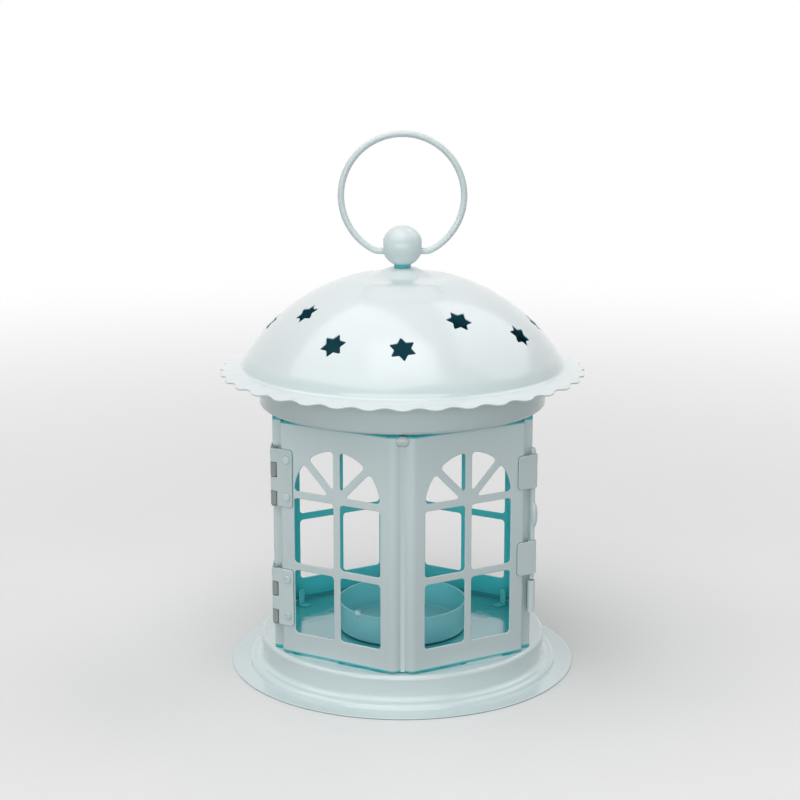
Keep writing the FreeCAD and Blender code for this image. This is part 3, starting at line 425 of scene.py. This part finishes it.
def bead_highlight(shader):
    """1 on the bead of solder on the cup's rim, where a paler colour is painted as its highlight."""
    flat = cmath.rect(CUP_RADIUS * MM, SOLDER_TURN)
    away = shader.vector("SUBTRACT", shader.place, (flat.real, flat.imag, CUP_RIM * MM))
    return shader.within(shader.vector("LENGTH", away), SOLDER_REACH)


def painted_crevice_shade(shader):
    """Painted shade: up to 1 in narrow gaps and thin creases."""
    crevice = shader.shelter(CREVICE_DISTANCE, CREVICE_SHELTER, CREVICE_STRENGTH)
    crease = shader.shelter(CREASE_DISTANCE, CREASE_SHELTER, CREASE_STRENGTH)
    return shader.math("MAXIMUM", crevice, crease)


def shaded(colour, share):
    """A colour's share, darker below 1 and paler above it."""
    return tuple(share * part for part in colour[:3]) + (1,)


def dusted(shader, colour):
    """Scatter specks over a colour, in some of the dust's cells."""
    cells = shader.add("ShaderNodeTexVoronoi", Vector=shader.place, Scale=1 / (DUST_CELL * MM))
    dot = shader.ramp(cells.outputs["Distance"], SPECK_EDGE)
    lot = shader.add("ShaderNodeSeparateColor", Color=cells.outputs["Color"])
    chosen = shader.math("LESS_THAN", lot.outputs["Red"], DUST_SHARE)
    shown = shader.math("MULTIPLY", dot, chosen)
    faint = shader.ramp(lot.outputs["Green"], (0, 1), SPECK_STRENGTH)
    return shader.mix(shader.math("MULTIPLY", shown, faint), colour, SPECK)


def patchy(shader, colour):
    """A colour with faint patches."""
    return shader.mix(shader.noise(PATCH_SIZE, detail=1), shaded(colour, PATCH_SHADE), colour)


def painted_wall_light(shader, colour):
    """Painted light and shade: a colour that is paler towards the walls' head and deeper towards their foot.
    """
    rise = shader.within(shader.along(UP), (PANEL_BOTTOM, PANEL_TOP))
    return shader.mix(rise, shaded(colour, WALL_FOOT_PAINTED_SHADE), shaded(colour, WALL_HEAD_PAINTED_LIGHT))


def paint(name, outside=OUTSIDE, lit_top=PAINTED_TOP_LIGHT, tone=patchy, inside=None, inner=INSIDE_BOUNCE_LIGHT, line=None,
          line_colour=GAP_SHADE, shade_crevices=True, gloss=0.20, coat=0.4, wave=0.2, wave_size=16, ripple=False):
    """Gloss paint, dusty and wavy, paler as painted light where it faces up, with painted bounce light
    inside and painted shade in crevices.

    Tone is a function that varies the outer colour. Inside and line are functions that give a shader's mask.
    Paint that ripples is less even inside.
    """
    shader = Shader(name)
    # Painted light: the paint is paler where it faces up.
    colour = shader.mix(shader.ramp(shader.facing(UP), FACES_UP), tone(shader, outside), lit_top)
    indoors = inside(shader) if inside else None
    # Painted bounce light where the mask finds the inside, with painted shade in its corners.
    if inside:
        corners = shader.shelter(CORNER_DISTANCE, CORNER_SHELTER)
        colour = shader.mix(indoors, colour, shader.mix(corners, inner, shaded(inner, CORNER_PAINTED_SHADE)))
    # Painted shade in crevices and creases.
    if shade_crevices:
        colour = shader.mix(painted_crevice_shade(shader), colour, CREVICE_SHADE)
    # A line of colour: painted shade in gaps, the painted highlight of the cup's bead, the hinge's bare
    # knuckles.
    if line:
        colour = shader.mix(line(shader), colour, line_colour)
    shader.set("Base Color", dusted(shader, colour))
    glossy = (gloss, gloss + GLOSS_SPREAD)
    shader.set("Roughness", shader.ramp(shader.noise(GLOSS_PATCH, detail=1), GLOSS_NOISE, glossy))
    shader.set("Coat Weight", coat)
    shader.set("Coat Roughness", gloss / 2)
    normal = shader.bump(shader.noise(GRAIN_SIZE), GRAIN_DEPTH, GRAIN_STRENGTH)
    normal = shader.bump(shader.noise(wave_size, detail=1), WAVE_DEPTH, wave, normal)
    if ripple:
        normal = shader.bump(shader.noise(RIPPLE_SIZE, detail=3), RIPPLE_DEPTH, indoors, normal)
    shader.set("Normal", normal)
    return shader.material


def dress(piece, material):
    """Give a piece its paint."""
    piece.data.materials.clear()
    piece.data.materials.append(material)


def soften(piece, width):
    """Round a sheet's cut edges as a thick coat of paint does."""
    weld = piece.modifiers.new("weld", "WELD")
    weld.merge_threshold = WELD_DISTANCE * MM
    flat = piece.modifiers.new("flat", "DECIMATE")
    flat.decimate_type = "DISSOLVE"
    flat.angle_limit = math.radians(FLAT_ANGLE)
    edges = piece.modifiers.new("edges", "BEVEL")
    edges.width = width * MM
    edges.segments = EDGE_SEGMENTS
    edges.limit_method = "ANGLE"
    edges.angle_limit = math.radians(EDGE_ANGLE)
    edges.use_clamp_overlap = False
    edges.loop_slide = False
    piece.modifiers.new("normals", "WEIGHTED_NORMAL")


class Sheet:
    """A mesh under construction, in millimetres, whose points may carry their surface's exact normal."""

    def __init__(self):
        self.shape = bmesh.new()
        self.normals = []

    def point(self, place, normal=(0, 0, 0)):
        """A new point of the mesh."""
        self.normals.append(normal)
        return self.shape.verts.new(Vector(place) * MM)

    def face(self, points):
        """A face between points of the mesh."""
        self.shape.faces.new(points)

    def join(self, first, second):
        """Faces between two closed rings of as many points."""
        for index in range(len(first)):
            self.face((first[index - 1], first[index], second[index], second[index - 1]))

    def piece(self, name, material, slot, replaced):
        """The finished piece of the fixed lantern, which stands for a CAD node."""
        bmesh.ops.recalc_face_normals(self.shape, faces=self.shape.faces)
        mesh = bpy.data.meshes.new(name)
        self.shape.to_mesh(mesh)
        self.shape.free()
        mesh.shade_smooth()
        piece = bpy.data.objects.new(name, mesh)
        bpy.context.scene.collection.objects.link(piece)
        if any(any(normal) for normal in self.normals):
            mesh.normals_split_custom_set_from_vertices(self.normals)
        else:
            piece.modifiers.new("normals", "WEIGHTED_NORMAL")
        dress(piece, material)
        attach(piece, "lantern_body")
        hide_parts(replaced)


def rounded(corners, step=15):
    """Points of a closed outline whose corners (x, y, radius) are rounded in steps of some degrees."""
    spots = [complex(x, y) for x, y, radius in corners]
    outline = []
    for index, (x, y, radius) in enumerate(corners):
        here, last, following = spots[index], spots[index - 1], spots[(index + 1) % len(spots)]
        ahead = (here - last) / abs(here - last)
        turn = cmath.phase((following - here) / ahead)
        start = here - ahead * radius * math.tan(abs(turn) / 2)
        centre = start + ahead * 1j * math.copysign(radius, turn)
        count = max(1, round(abs(math.degrees(turn)) / step)) if radius else 0
        for part in range(count + 1):
            outline.append(centre + (start - centre) * cmath.exp(1j * turn * part / max(1, count)))
    return outline


def turned(name, material, slot, replaced, corners, segments, shape=None):
    """A piece whose closed outline of corners (radius, height, rounding) is turned round the axis.

    A shape is a function of the turn and a point of the outline, and gives back where that point goes.
    """
    sheet = Sheet()
    outline = rounded(corners)
    rings = []
    for step in range(segments):
        turn = 2 * math.pi * step / segments
        way = cmath.rect(1, turn)
        section = [shape(turn, point) for point in outline] if shape else outline
        flats = [(way * point.real, point.imag) for point in section]
        rings.append([sheet.point((flat.real, flat.imag, height)) for flat, height in flats])
    for step in range(segments):
        sheet.join(rings[step - 1], rings[step])
    sheet.piece(name, material, slot, replaced)


# Base: rim, bead, cove and the lantern's floor in one pressed sheet.
def make_base(material):
    rim = BASE_RADIUS - RIM_WIDTH
    plateau = rim - BEAD_ROUND - BEAD_LAND - COVE_ROUND
    bead = SHEET + BEAD_ROUND
    turned("base_shell", material, "sheet_paint", "base_dish", [
        (RIVET_BORE, FLOOR_HEIGHT, PAINT_ROUND),
        (plateau, FLOOR_HEIGHT, PLATEAU_ROUND),
        (plateau, bead, COVE_ROUND),
        (rim, bead, BEAD_ROUND - PAINT_ROUND),
        (rim, SHEET, PAINT_ROUND),
        (BASE_RADIUS, SHEET, PAINT_ROUND),
        (BASE_RADIUS, BASE_BOTTOM, PAINT_ROUND),
        (rim - SHEET, BASE_BOTTOM, PAINT_ROUND),
        (rim - SHEET, bead - SHEET, BEAD_ROUND - SHEET),
        (plateau - SHEET, bead - SHEET, COVE_ROUND + SHEET),
        (plateau - SHEET, FLOOR_HEIGHT - SHEET, PLATEAU_ROUND - SHEET),
        (RIVET_BORE, FLOOR_HEIGHT - SHEET, PAINT_ROUND),
    ], BASE_SEGMENTS)


# Candle cup: a plain drawn cup with a rounded rim and one bead of solder on it.
def soldered(turn, point):
    """Where a point of the cup's outline lies once the bead, a ball round the rim, is laid on."""
    along = CUP_RADIUS * math.remainder(turn - SOLDER_TURN, 2 * math.pi)
    if abs(along) >= SOLDER_RADIUS:
        return point
    rim = complex(CUP_RADIUS - CUP_SHEET / 2, CUP_RIM - CUP_SHEET / 2)
    section = math.sqrt(SOLDER_RADIUS ** 2 - along ** 2)
    return rim + (point - rim) * max(1, section / abs(point - rim))


def make_cup(material):
    inner = CUP_RADIUS - CUP_SHEET
    steps = [SOLDER_RADIUS / SOLDER_STEPS * step for step in range(2 * SOLDER_STEPS, 1, -1)]
    turned("cup_shell", material, "sheet_paint", "candle_cup", [
        (RIVET_BORE, CUP_BOTTOM, 0),
        (CUP_RADIUS, CUP_BOTTOM, CUP_ROUND),
        *[(CUP_RADIUS, CUP_RIM - step, 0) for step in steps],
        (CUP_RADIUS, CUP_RIM, CUP_RIM_ROUND),
        (inner, CUP_RIM, CUP_RIM_ROUND),
        *[(inner, CUP_RIM - step, 0) for step in reversed(steps)],
        (inner, CUP_BOTTOM + CUP_SHEET, CUP_ROUND - CUP_SHEET),
        (RIVET_BORE, CUP_BOTTOM + CUP_SHEET, 0),
    ], CUP_SEGMENTS, soldered)


# Roof: the cap from the screw hole to the dome's foot is a height over its plan.
def cap_line(radius):
    """Height of the cap's outer face before its bends are eased."""
    if radius >= VALLEY_RADIUS:
        return DOME_CENTRE + math.sqrt(DOME_RADIUS ** 2 - radius ** 2)
    valley = cap_line(VALLEY_RADIUS)
    if radius >= BOSS_FOOT:
        return valley + BOSS_FOOT_RISE * (VALLEY_RADIUS - radius) / (VALLEY_RADIUS - BOSS_FOOT)
    foot = valley + BOSS_FOOT_RISE
    share = min(1, (BOSS_FOOT - radius) / (BOSS_FOOT - BOSS_TOP))
    return foot + (BOSS_HEIGHT - foot) * share


def cap_height(radius):
    """Height of the cap's outer face, with the bends of its boss eased."""
    if radius > VALLEY_RADIUS + BOSS_EASE:
        return cap_line(radius)
    parts = range(-BOSS_EASE_STEPS, BOSS_EASE_STEPS + 1)
    steps = [BOSS_EASE * part / BOSS_EASE_STEPS for part in parts]
    return sum(cap_line(radius + step) for step in steps) / len(steps)


def cap_normal(flat):
    """Upward normal of the cap above a point of its plan."""
    nearby = 0.01
    rise = cap_height(abs(flat) + nearby) - cap_height(abs(flat) - nearby)
    lean = -flat / abs(flat) * rise / (2 * nearby)
    return Vector((lean.real, lean.imag, 1)).normalized()


def star_facings():
    """Turn from upright to each star's own direction."""
    facings = []
    for distance, azimuth, twist in STAR_ROWS:
        slope = Matrix.Rotation(math.asin(distance / DOME_RADIUS), 3, "X")
        spin = Matrix.Rotation(math.radians(twist), 3, "Z")
        for step in range(STARS_PER_ROW):
            turn = math.radians(azimuth + 360 / STARS_PER_ROW * step)
            facings.append(Matrix.Rotation(turn, 3, "Z") @ slope @ spin)
    return facings


def star_outline():
    """Points of a star with rounded tips and valleys, round its own middle."""
    corners = []
    for step in range(2 * STAR_ARMS):
        tip = step % 2 == 0
        spot = cmath.rect(STAR_TIP if tip else STAR_VALLEY, math.pi / 2 + math.pi / STAR_ARMS * step)
        corners.append((spot.real, spot.imag, TIP_ROUND if tip else VALLEY_ROUND))
    return rounded(corners, STAR_CORNER_STEP)


def star_rings(facing):
    """Rings of (place, normal) round a star's cut, from the outer face over both rounded edges."""
    outline = star_outline()
    turns = [math.radians(degrees) for degrees in CUT_EDGE_TURNS]
    bends = [(turn, PAINT_ROUND * (1 - math.cos(turn)), 1) for turn in turns]
    bends += [(turn, SHEET - depth, -1) for turn, depth, side in reversed(bends)]
    rings = []
    for turn, depth, side in bends:
        ring = []
        for index, point in enumerate(outline):
            along = outline[(index + 1) % len(outline)] - outline[index - 1]
            away = -1j * along / abs(along)
            spot = point + away * PAINT_ROUND * (1 - math.sin(turn))
            height = math.sqrt((DOME_RADIUS - depth) ** 2 - abs(spot) ** 2)
            place = facing @ Vector((spot.real, spot.imag, height))
            across = facing @ Vector((-away.real, -away.imag, 0))
            normal = side * math.cos(turn) * place.normalized() + math.sin(turn) * across
            ring.append((place + Vector((0, 0, DOME_CENTRE)), normal.normalized()))
        rings.append(ring)
    return rings


def rim_radius(turn):
    """Reach of the scalloped brim; notches lie half a step beside the lobes."""
    step = 2 * math.pi / SCALLOPS
    off_notch = turn % step - step / 2
    notch = BRIM_RADIUS - SCALLOP_DEPTH + SCALLOP_ROUND
    across = notch * math.sin(off_notch)
    return min(BRIM_RADIUS, notch * math.cos(off_notch) - math.sqrt(SCALLOP_ROUND ** 2 - across ** 2))


def brim_rings():
    """Rings of places from the dome's outer foot over the brim's edge to its inner foot."""
    inner_foot = DOME_CENTRE + math.sqrt((DOME_RADIUS - SHEET) ** 2 - (DOME_FOOT - SHEET) ** 2)
    shares = [part / BRIM_STEPS for part in range(1, BRIM_STEPS)]
    over = [(BRIM_INNER + BRIM_WIDTH * share, BRIM_HEIGHT - BRIM_FALL * share, 0) for share in shares]
    under = [(radius, height - SHEET, 0) for radius, height, flat in reversed(over)]
    section = rounded([
        (DOME_FOOT, BRIM_HEIGHT + DOME_WALL, 0),
        (FOOT_RADIUS, BRIM_HEIGHT, FOOT_ROUND),
        *over,
        (BRIM_RADIUS, BRIM_HEIGHT - BRIM_FALL, PAINT_ROUND),
        (BRIM_RADIUS, BRIM_HEIGHT - BRIM_FALL - SHEET, PAINT_ROUND),
        *under,
        (FOOT_RADIUS - SHEET, BRIM_HEIGHT - SHEET, FOOT_ROUND + SHEET),
        (DOME_FOOT - SHEET, inner_foot, 0),
    ])
    around = SCALLOPS * SCALLOP_STEPS
    turns = [2 * math.pi * step / around for step in range(around)]
    rings = []
    for point in section:
        out = max(0, point.real - BRIM_INNER)
        share = max(0, out - RUFFLE_START) / (BRIM_WIDTH - RUFFLE_START)
        ring = []
        for turn in turns:
            radius = point.real - out + out * (rim_radius(turn) - BRIM_INNER) / BRIM_WIDTH
            height = point.imag - RUFFLE * share ** 2 * math.cos(SCALLOPS * turn)
            flat = cmath.rect(radius, turn - math.pi / 2)
            ring.append((flat.real, flat.imag, height))
        rings.append(ring)
    return rings


def inside_loop(spot, loop):
    """Whether a point of the plan lies inside a closed loop."""
    crossings = 0
    for index, here in enumerate(loop):
        last = loop[index - 1]
        if (here.y > spot.y) != (last.y > spot.y):
            share = (spot.y - here.y) / (last.y - here.y)
            crossings += spot.x < here.x + share * (last.x - here.x)
    return crossings % 2 == 1


def cap_rings(stars):
    """Rings of plan points from the cap's bore to its foot, clear of the stars, given by their middles."""
    count = round((DOME_FOOT - SCREW_HOLE) / CAP_SPACING)
    rings = []
    for index in range(count):
        radius = SCREW_HOLE + (DOME_FOOT - SCREW_HOLE) * index / count
        around = max(BORE_POINTS, round(2 * math.pi * radius / CAP_SPACING))
        ring = []
        for step in range(around):
            flat = cmath.rect(radius, 2 * math.pi * (step + index % 2 / 2) / around)
            spot = Vector((flat.real, flat.imag))
            if min((spot - star).length for star in stars) >= STAR_TIP + CAP_SPACING / 2:
                ring.append(flat)
        rings.append(ring)
    return rings


def cap_skin(sheet, star_points, edge_points, deep):
    """One face of the cap between its edge and its bore, open at the stars; gives back the bore's ring."""
    loops = [[point.co.xy / MM for point in points] for points in star_points]
    middles = [sum(loop, Vector((0, 0))) / len(loop) for loop in loops]
    known = [point for points in star_points for point in points] + edge_points
    plan = [point.co.xy / MM for point in known]
    cuts = []
    for points in star_points + [edge_points]:
        first = len(cuts)
        cuts += [(first + index, first + (index + 1) % len(points)) for index in range(len(points))]
    rings = []
    for flats in cap_rings(middles):
        ring = []
        for flat in flats:
            normal = cap_normal(flat)
            height = cap_height(abs(flat)) - deep / normal.z
            ring.append(sheet.point((flat.real, flat.imag, height), -normal if deep else normal))
            plan.append(Vector((flat.real, flat.imag)))
        known += ring
        rings.append(ring)
    triangles = delaunay_2d_cdt(plan, cuts, [], 0, PLAN_TOLERANCE)[2]
    for triangle in triangles:
        middle = sum((plan[index] for index in triangle), Vector((0, 0))) / len(triangle)
        near = [loop for loop, star in zip(loops, middles) if (star - middle).length < STAR_TIP]
        if middle.length > SCREW_HOLE and not any(inside_loop(middle, loop) for loop in near):
            sheet.face([known[index] for index in triangle])
    return rings[0]


def make_roof(material):
    """Cap, star cuts and brim as one mesh."""
    sheet = Sheet()
    stars = []
    for facing in star_facings():
        stars.append([[sheet.point(*spot) for spot in ring] for ring in star_rings(facing)])
    brim = [[sheet.point(place) for place in ring] for ring in brim_rings()]
    for rings in stars + [brim]:
        for first, second in zip(rings, rings[1:]):
            sheet.join(first, second)
    outer_bore = cap_skin(sheet, [rings[0] for rings in stars], brim[0], 0)
    inner_bore = cap_skin(sheet, [rings[-1] for rings in stars], brim[-1], SHEET)
    sheet.join(outer_bore, inner_bore)
    sheet.piece("roof_shell", material, "sheet_paint", "roof_dome")


# Studio: floor, lamps, world and camera.
def light_path_share(tree):
    """1 for rays from the camera and for mirror and glass rays, 0 for rays that light the object."""
    path = tree.nodes.new("ShaderNodeLightPath")
    share = path.outputs["Is Camera Ray"]
    for name in ("Is Glossy Ray", "Is Transmission Ray"):
        larger = tree.nodes.new("ShaderNodeMath")
        larger.operation = "MAXIMUM"
        tree.links.new(share, larger.inputs[0])
        tree.links.new(path.outputs[name], larger.inputs[1])
        share = larger.outputs["Value"]
    return share


def make_floor():
    """A pale floor that keeps the shadow near the object and fades into the white backdrop."""
    mesh = bpy.data.meshes.new("studio_floor")
    shape = bmesh.new()
    bmesh.ops.create_circle(shape, cap_ends=True, segments=FLOOR_SIDES, radius=FLOOR_RADIUS * MM)
    shape.to_mesh(mesh)
    shape.free()
    floor = bpy.data.objects.new("studio_floor", mesh)
    bpy.context.scene.collection.objects.link(floor)
    shader = Shader("studio_floor")
    mottle = shader.ramp(shader.noise(MOTTLE_SIZE, detail=4), MOTTLE_NOISE)
    pale = shader.mix(mottle, FLOOR_PALE, FLOOR_PALER)
    seen = light_path_share(shader.tree)
    shader.set("Base Color", shader.mix(seen, FLOOR_BOUNCE, pale))
    shader.set("Roughness", FLOOR_ROUGHNESS)
    away = shader.within(shader.vector("LENGTH", shader.level()), FLOOR_FADE)
    white = shader.add("ShaderNodeEmission", Color=WHITE, Strength=1.0)
    blend = shader.add("ShaderNodeMixShader", Fac=shader.math("MULTIPLY", away, seen))
    shader.join(shader.surface.outputs["BSDF"], blend.inputs[1])
    shader.join(white.outputs["Emission"], blend.inputs[2])
    shader.join(blend.outputs["Shader"], shader.output.inputs["Surface"])
    mesh.materials.append(shader.material)


def make_lamp(name, place, aim, width, depth, power):
    """A soft box of some width and depth in metres, and some watts, turned towards a point."""
    lamp = bpy.data.lights.new(name, "AREA")
    lamp.shape = "RECTANGLE"
    lamp.size = width
    lamp.size_y = depth
    lamp.energy = power
    lamp.color = LAMP_COLOUR
    stand = bpy.data.objects.new(name, lamp)
    bpy.context.scene.collection.objects.link(stand)
    stand.location = place
    stand.rotation_euler = (Vector(aim) - Vector(place)).to_track_quat("-Z", "Y").to_euler()


def make_world():
    """Even cool light, with a white backdrop for the camera and for reflections."""
    world = bpy.data.worlds.new("studio")
    bpy.context.scene.world = world
    world.use_nodes = True
    tree = world.node_tree
    tree.nodes.clear()
    output = tree.nodes.new("ShaderNodeOutputWorld")
    blend = tree.nodes.new("ShaderNodeMixShader")
    tree.links.new(light_path_share(tree), blend.inputs["Fac"])
    backgrounds = ((SKY, SKY_STRENGTH), (WHITE, 1.0))
    for index, (colour, strength) in enumerate(backgrounds, start=1):
        background = tree.nodes.new("ShaderNodeBackground")
        background.inputs["Color"].default_value = colour
        background.inputs["Strength"].default_value = strength
        tree.links.new(background.outputs["Background"], blend.inputs[index])
    tree.links.new(blend.outputs["Shader"], output.inputs["Surface"])


def make_camera():
    """The camera that sees the lantern as the photograph does."""
    camera = bpy.data.cameras.new("photo_camera")
    camera.sensor_width = CAMERA_SENSOR
    camera.sensor_height = CAMERA_SENSOR
    camera.lens = CAMERA_LENS
    camera.clip_start = CAMERA_NEAR * MM
    stand = bpy.data.objects.new("photo_camera", camera)
    bpy.context.scene.collection.objects.link(stand)
    stand.location = Vector(CAMERA_PLACE) * MM
    stand.rotation_euler = (math.radians(CAMERA_PITCH), 0, 0)
    bpy.context.scene.camera = stand


# Paints, each named for what it covers.
sheet_paint = paint("sheet_paint")
# The walls: painted light and shade from head to foot, painted bounce light inside and painted shade at the
# panels' ends.
wall_paint = paint("wall_paint", tone=painted_wall_light, inside=facing_inwards, line=panel_end_shade)
# The base: painted bounce light on the lantern's floor, painted shade below the door.
base_paint = paint("base_paint", lit_top=OUTSIDE, inside=within_walls, inner=FLOOR_BOUNCE_LIGHT, line=shade_under_door,
                   gloss=0.08, coat=0.8, wave=0.5, wave_size=6, ripple=True)
# The cup: painted bounce light all over, with a painted highlight on its bead.
cup_paint = paint("cup_paint", CUP_OUTER_BOUNCE_LIGHT, CUP_OUTER_BOUNCE_LIGHT, inside=facing_inwards, inner=CUP_INSIDE_BOUNCE_LIGHT,
                  line=bead_highlight, line_colour=CUP_BEAD_HIGHLIGHT)
# Inner clips, rivet and screw: painted bounce light.
inner_paint = paint("inner_paint", INSIDE_BOUNCE_LIGHT, INSIDE_BOUNCE_LIGHT)
# The roof: painted bounce light and shade where it faces the inside.
roof_paint = paint("roof_paint", inside=under_roof, inner=UNDER_ROOF_SHADE, gloss=0.22, coat=0.7)
finial_paint = paint("finial_paint", shade_crevices=False, wave=0.05)
# The collar under the ball: painted shade.
collar_shade_paint = paint("collar_shade_paint", GAP_SHADE, GAP_SHADE)
pin_paint = paint("pin_paint", BARE_PIN, BARE_PIN, gloss=0.35, coat=0.1)
hinge_paint = paint("hinge_paint", line=on_knuckles, line_colour=BARE_PIN)

# Paint and edge width of the CAD pieces, by the start of their names; the others have plain sheet paint.
PAINTS = (
    (("wall_panel", "door_panel", "hinge_rivets"), wall_paint),
    (("floor_clips", "crown_clips", "cup_rivet", "finial_screw"), inner_paint),
    (("crown_ring", "roof_solder_drops"), roof_paint),
    (("finial_ball", "ring_handle"), finial_paint),
    (("finial_collar",), collar_shade_paint),
    (("hinge_pin",), pin_paint),
    (("hinge_leaf_wall",), hinge_paint),
)
EDGES = (
    (("wall_panel", "door_panel"), PANEL_EDGE),
    (("hinge_leaf", "latch_strap"), HARDWARE_EDGE),
    (("latch_keeper",), KEEPER_EDGE),
)

for name, node in nodes.items():
    dress(node, sheet_paint)
    for starts, material in PAINTS:
        if name.startswith(starts):
            dress(node, material)
    for starts, width in EDGES:
        if name.startswith(starts):
            soften(node, width)

make_base(base_paint)
make_cup(cup_paint)
make_roof(roof_paint)

make_floor()
make_world()
for lamp in LAMPS:
    make_lamp(*lamp)
make_camera()

scene = bpy.context.scene
scene.view_settings.view_transform = "Standard"
